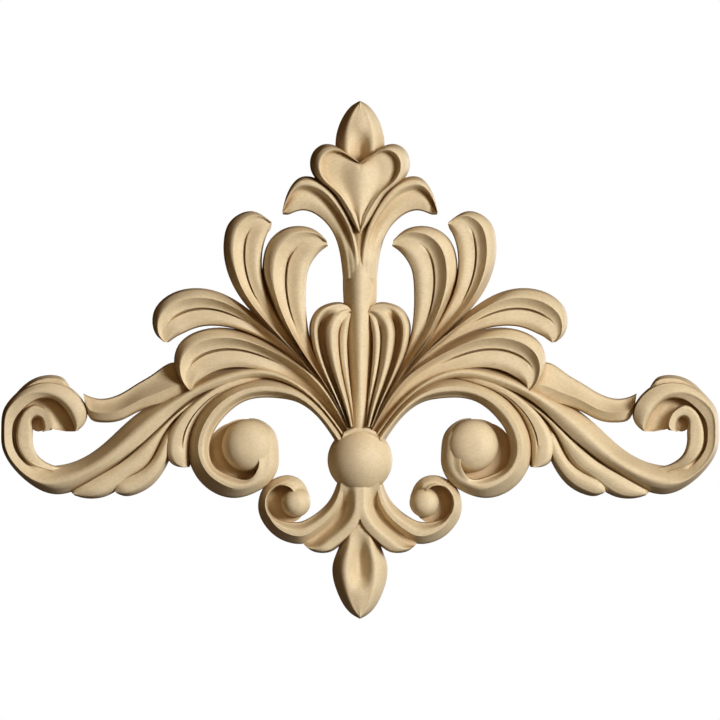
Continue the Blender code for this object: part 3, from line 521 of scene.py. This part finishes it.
# THE ARM'S LEAVES
# A tail leaf springs over the arm to the end scroll, and three lobes hang below the arm. They are
# low and rounded, and are pressed in one with it.
TAIL_LEAF = [(68.0, 35.2, 65.6, 25.2), (73.6, 39.0, 70.4, 24.0), (82.8, 34.4, 79.2, 22.0),
             (88.8, 30.8, 85.6, 20.4), (93.2, 28.0, 89.6, 18.8), (98.0, 25.6, 95.2, 16.0),
             (104.8, 24.6, 103.6, 15.0), (108.0, 25.4, 107.6, 16.2), (110.7, 26.7, 110.0, 22.0)]
LOBE_1 = [(63.6, 26.4, 62.4, 25.0), (72.8, 20.0, 70.8, 18.6), (84.8, 8.8, 78.8, 8.0),
          (97.6, -2.0, 85.6, -3.2), (104.8, -6.2, 90.8, -6.8), (113.6, -11.0, 104.0, -15.2),
          (115.4, -12.4, 112.0, -14.9), (115.4, -13.0, 114.2, -14.2)]
LOBE_2 = [(75.2, 14.4, 72.0, 12.8), (78.8, 9.2, 74.4, 5.6), (81.2, 4.0, 75.6, 1.6),
          (88.0, -4.0, 80.4, -7.2), (96.8, -8.4, 89.2, -13.6), (98.8, -10.6, 94.4, -14.4),
          (98.6, -12.2, 97.2, -13.4)]
LOBE_3 = [(37.6, 35.2, 37.6, 32.0), (49.6, 33.6, 48.0, 28.8), (62.0, 27.2, 56.8, 24.8),
          (76.4, 11.6, 66.8, 10.8), (77.8, 6.4, 67.6, 5.6), (72.4, -2.8, 68.0, -2.4),
          (69.6, -3.0, 68.2, -2.8)]
TAIL_RELIEF = 9.4
LOBE_EDGE = 4.0  # the height of a lobe's edge against the arm


def tail_section(t):
    """Two faces that meet at a crisp crest."""
    h = TAIL_RELIEF - 2.0 * fade(t, 0.8, 1.0)
    return [(0.0, 0.0, EDGE, "flat", 1), (0.0, 0.6, 0.45 * h, "flat", 2),
            (0.60, 0.0, h, "hollow", 8), (1.0, -0.9, 0.68 * h, "flat", 6), (1.0, 0.0, EDGE, "flat", 2)]


carve("tail_leaf", TAIL_LEAF, tail_section, 44)
carve("lobe_1", LOBE_1, strip_section(relief=8.6, crest=0.4, start=LOBE_EDGE), 40)
carve("lobe_2", LOBE_2, strip_section(relief=8.0, crest=0.4, start=LOBE_EDGE), 36)
carve("lobe_3", LOBE_3, strip_section(relief=9.4, crest=0.3, start=LOBE_EDGE, cut=2.2), 44)

# THE BOSS
# A half ball in the middle covers the roots of the leaves and scrolls. A low collar closes the
# gap above it, on a seat that closes the slits between the roots.
BOSS = (0.0, 0.0, 13.0)
COLLAR = [(7.0, 8.4, 6.4, 11.4), (3.6, 10.2, 3.4, 13.0), (-0.8, 10.9, -0.8, 13.5)]
SEAT_OUT = (-1.6, 7.1)
SEAT_UP = (8.0, 15.0)


def collar_section(t):
    """A low, slightly rounded ledge."""
    return [(0.0, 0.0, EDGE, "flat", 1), (0.0, 0.2, 12.4, "flat", 2), (0.5, 0.0, 12.9, "swell", 3),
            (1.0, -0.3, 12.0, "swell", 3), (1.0, 0.0, EDGE, "flat", 1)]


def block(name, x, z, front, back):
    """A plain block, from so far in front of the back plane to so far behind it."""
    mesh = bmesh.new()
    bmesh.ops.create_cube(mesh, size=1.0)
    for vert in mesh.verts:
        vert.co = ((x[0] + (x[1] - x[0]) * (vert.co.x + 0.5)) * MM,
                   (-front + (front + back) * (vert.co.y + 0.5)) * MM,
                   (z[0] + (z[1] - z[0]) * (vert.co.z + 0.5)) * MM)
    return closed(name, mesh)


dome("boss", BOSS, relief=19.0, foot=6.0, segments=120, rings=60)
carve("collar", COLLAR, collar_section, 12)
carvings.objects.link(block("seat", SEAT_OUT, SEAT_UP, front=6.0, back=0.6))

# THE PRESSED PIECE
# The strips come out of the mould as one piece of pale, matt wood pulp: joined, flat at the back,
# and the same on both sides of the centre line. It is glued on by its back.
PAST_SIDE = (-20.0, 160.0)
PAST_ENDS = (-90.0, 160.0)
ON_CENTRE = 2e-6
WELD = 1e-6
SHARP = math.radians(38)
BACK_FACING = 0.9  # a face whose normal points back by more than this is part of the flat back
# The rays that find how shut in each point is, which sets where the hollows get painted shade.
SHADE_RAY_REACH = 12.0 * MM
SHADE_RAY_LIFT = 0.15 * MM
SHADE_RAY_FANS = [(math.radians(25), 6), (math.radians(50), 8), (math.radians(72), 8)]
PULP_DARK = (0.685, 0.560, 0.358, 1.0)
PULP_PALE = (0.795, 0.670, 0.448, 1.0)
# Painted shade: the dark brown mixed into the shut-in hollows, and how strongly it is mixed in.
PAINTED_SHADE_BROWN = (0.34, 0.19, 0.07, 1.0)
PAINTED_SHADE_STRENGTH = 0.52

workshop = bpy.data.collections.new("workshop")
bpy.context.scene.collection.children.link(workshop)
workshop.children.link(carvings)


def boolean(target, name, operation, operand):
    """A Boolean modifier whose operand is an object or a collection."""
    modifier = target.modifiers.new(name, "BOOLEAN")
    modifier.operation = operation
    modifier.solver = "MANIFOLD"
    if isinstance(operand, bpy.types.Collection):
        modifier.operand_type = "COLLECTION"
        modifier.collection = operand
    else:
        modifier.object = operand


first = carvings.objects["stem"]
carvings.objects.unlink(first)
workshop.objects.link(first)
behind = block("behind", PAST_SIDE, PAST_ENDS, front=0.0, back=20.0)
other_half = block("other_half", (PAST_SIDE[0], 0.0), PAST_ENDS, front=40.0, back=30.0)
workshop.objects.link(behind)
workshop.objects.link(other_half)
boolean(first, "join_carvings", "UNION", carvings)
boolean(first, "flat_back", "DIFFERENCE", behind)
boolean(first, "centre_line", "DIFFERENCE", other_half)
bpy.context.view_layer.update()
pressed = bpy.data.meshes.new_from_object(first.evaluated_get(bpy.context.evaluated_depsgraph_get()))
for part in list(carvings.objects) + [first, behind, other_half]:
    bpy.data.objects.remove(part)
bpy.data.collections.remove(carvings)
bpy.data.collections.remove(workshop)

half = bmesh.new()
half.from_mesh(pressed)
for vert in half.verts:
    if abs(vert.co.x) < ON_CENTRE:
        vert.co.x = 0.0
middle = [face for face in half.faces if all(vert.co.x == 0.0 for vert in face.verts)]
bmesh.ops.delete(half, geom=middle, context="FACES")
twin = bmesh.ops.duplicate(half, geom=half.verts[:] + half.edges[:] + half.faces[:])["geom"]
for item in twin:
    if isinstance(item, bmesh.types.BMVert):
        item.co.x = -item.co.x
bmesh.ops.reverse_faces(half, faces=[item for item in twin if isinstance(item, bmesh.types.BMFace)])
centre = [vert for vert in half.verts if vert.co.x == 0.0]
bmesh.ops.remove_doubles(half, verts=centre, dist=WELD)
half.to_mesh(pressed)
half.free()

ornament = bpy.data.objects.new("pressed_ornament", pressed)
bpy.context.scene.collection.objects.link(ornament)
pressed.shade_smooth()
pressed.set_sharp_from_angle(angle=SHARP)
for face in pressed.polygons:
    face.use_smooth = face.normal.y < BACK_FACING

# How shut in each point is, from rays that fan out to the front: the hollows are painted a darker brown
# as shade.
rays = [Vector((math.sin(tilt) * math.cos(2 * math.pi * k / count), -math.cos(tilt),
                math.sin(tilt) * math.sin(2 * math.pi * k / count)))
        for tilt, count in SHADE_RAY_FANS for k in range(count)]
solid = BVHTree.FromPolygons([vert.co for vert in pressed.vertices],
                             [face.vertices for face in pressed.polygons])
# The hollow attribute marks where the painted shade goes.
hollow = pressed.attributes.new("hollow", "FLOAT", "POINT")
for vert in pressed.vertices:
    start = vert.co + vert.normal * SHADE_RAY_LIFT
    shut = 0.0
    for ray in rays:
        struck = solid.ray_cast(start, ray, SHADE_RAY_REACH)[3]
        if struck is not None:
            shut += 1.0 - struck / SHADE_RAY_REACH
    hollow.data[vert.index].value = shut / len(rays)


class Socket:
    """A shader value that can be used in Python arithmetic."""

    def __init__(self, tree, socket):
        self.tree = tree
        self.socket = socket

    def node(self, kind, settings, inputs, output=0):
        """Add a node, set its settings and then its sockets, and give its output back."""
        made = self.tree.nodes.new(kind)
        for name, value in settings.items():
            setattr(made, name, value)
        for name, value in inputs.items():
            if isinstance(value, Socket):
                self.tree.links.new(value.socket, made.inputs[name])
            else:
                made.inputs[name].default_value = value
        return Socket(self.tree, made.outputs[output])

    def maths(self, operation, *values):
        return self.node("ShaderNodeMath", {"operation": operation}, dict(enumerate(values)))

    def __add__(self, other):
        return self.maths("ADD", self, other)

    def __radd__(self, other):
        return self.maths("ADD", other, self)

    def __mul__(self, other):
        return self.maths("MULTIPLY", self, other)

    def __rmul__(self, other):
        return self.maths("MULTIPLY", other, self)

    def between(self, low, high):
        """0 at low, 1 at high, smooth between them."""
        return self.node("ShaderNodeMapRange", {"interpolation_type": "SMOOTHSTEP"},
                         {"Value": self, "From Min": low, "From Max": high})

    def mix(self, first_colour, second_colour):
        """The first colour where this is 0, the second where it is 1."""
        return self.node("ShaderNodeMix", {"data_type": "RGBA"},
                         {0: self, 6: first_colour, 7: second_colour}, 2)


def wood_finish():
    """Pale pressed pulp: matt, with fine fibres and a faint mottle, and painted shade that darkens it to
    brown in the hollows.
    """
    material = bpy.data.materials.new("pale_pulp_wood")
    material.use_nodes = True
    tree = material.node_tree
    shader = tree.nodes["Principled BSDF"]
    place = Socket(tree, tree.nodes.new("ShaderNodeTexCoord").outputs["Object"])
    drawn = place.node("ShaderNodeVectorMath", {"operation": "MULTIPLY"}, {0: place, 1: (0.5, 1.0, 1.0)})
    fibre = place.node("ShaderNodeTexNoise", {}, {"Vector": drawn, "Scale": 1400.0, "Detail": 3.0})
    mottle = place.node("ShaderNodeTexNoise", {}, {"Vector": place, "Scale": 90.0, "Detail": 4.0})
    tone = (0.45 * mottle + 0.55 * fibre).between(0.32, 0.68)
    pulp = tone.mix(PULP_DARK, PULP_PALE)
    # Painted shade: the more shut in a point is, the more its colour is mixed towards dark brown.
    depth = place.node("ShaderNodeAttribute", {"attribute_name": "hollow"}, {}, 2)
    colour = (PAINTED_SHADE_STRENGTH * depth.between(0.16, 0.6)).mix(pulp, PAINTED_SHADE_BROWN)
    tree.links.new(colour.socket, shader.inputs["Base Color"])
    bump = place.node("ShaderNodeBump", {}, {"Strength": 0.12, "Distance": 0.0002, "Height": fibre})
    tree.links.new(bump.socket, shader.inputs["Normal"])
    shader.inputs["Roughness"].default_value = 0.6
    return material


pressed.materials.clear()
pressed.materials.append(wood_finish())
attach(ornament, "root")
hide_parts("ornament")

# THE STUDIO
# The ornament stands against plain white. A strong key light comes from the right, with weak warm
# lights from the front and above, one behind, and a pale floor far below. The camera is square to
# the front.
PICTURE_WIDTH = 288.0
MIDDLE = (0.0, 0.0, 0.04)
CAMERA_DISTANCE = 1.5
FLOOR_RADIUS = 0.7
FLOOR_THICKNESS = 0.004
FLOOR_DROP = 0.552
LAMP_SPREAD = math.radians(50)

floor_mesh = bmesh.new()
bmesh.ops.create_cone(floor_mesh, cap_ends=True, segments=96, radius1=FLOOR_RADIUS,
                      radius2=FLOOR_RADIUS, depth=FLOOR_THICKNESS)
for vert in floor_mesh.verts:
    vert.co.z -= FLOOR_DROP
floor = closed("floor", floor_mesh)
bpy.context.scene.collection.objects.link(floor)
floor_paint = bpy.data.materials.new("floor_paint")
floor_paint.use_nodes = True
paint = floor_paint.node_tree.nodes["Principled BSDF"]
paint.inputs["Base Color"].default_value = (0.70, 0.69, 0.67, 1.0)
paint.inputs["Roughness"].default_value = 0.8
floor.data.materials.append(floor_paint)


def lamp(name, place, size, power, colour):
    """A square soft light that faces the middle of the ornament."""
    data = bpy.data.lights.new(name, "AREA")
    data.shape = "SQUARE"
    data.size = size
    data.spread = LAMP_SPREAD
    data.energy = power
    data.color = colour
    light = bpy.data.objects.new(name, data)
    towards = Vector(MIDDLE) - Vector(place)
    light.rotation_euler = towards.to_track_quat("-Z", "Y").to_euler()
    light.location = place
    bpy.context.scene.collection.objects.link(light)


lamp("key", (1.04, -1.19, 0.32), size=0.45, power=2.25, colour=(1.0, 0.985, 0.95))
lamp("front", (0.0, -1.55, 0.35), size=0.9, power=0.22, colour=(1.0, 0.57, 0.23))
lamp("top", (0.35, -0.45, 1.25), size=0.7, power=0.14, colour=(1.0, 0.62, 0.3))
lamp("back", (0.75, 1.3, 0.12), size=0.8, power=1.0, colour=(1.0, 1.0, 1.0))

world = bpy.data.worlds.new("white_room")
bpy.context.scene.world = world
world.use_nodes = True
sky = world.node_tree
seen = sky.nodes.new("ShaderNodeLightPath")
white = sky.nodes.new("ShaderNodeBackground")
white.inputs["Color"].default_value = (1.0, 1.0, 1.0, 1.0)
glow = sky.nodes.new("ShaderNodeBackground")
glow.inputs["Color"].default_value = (1.0, 0.5, 0.2, 1.0)
glow.inputs["Strength"].default_value = 0.03
choose = sky.nodes.new("ShaderNodeMixShader")
sky.links.new(seen.outputs["Is Camera Ray"], choose.inputs[0])
sky.links.new(glow.outputs[0], choose.inputs[1])
sky.links.new(white.outputs[0], choose.inputs[2])
sky.links.new(choose.outputs[0], sky.nodes["World Output"].inputs["Surface"])
bpy.context.scene.view_settings.view_transform = "Standard"

camera_data = bpy.data.cameras.new("camera")
camera_data.type = "ORTHO"
camera_data.ortho_scale = PICTURE_WIDTH * MM
camera = bpy.data.objects.new("camera", camera_data)
camera.location = (0.0, -CAMERA_DISTANCE, MIDDLE[2])
camera.rotation_euler = (math.radians(90), 0.0, 0.0)
bpy.context.scene.collection.objects.link(camera)
bpy.context.scene.camera = camera
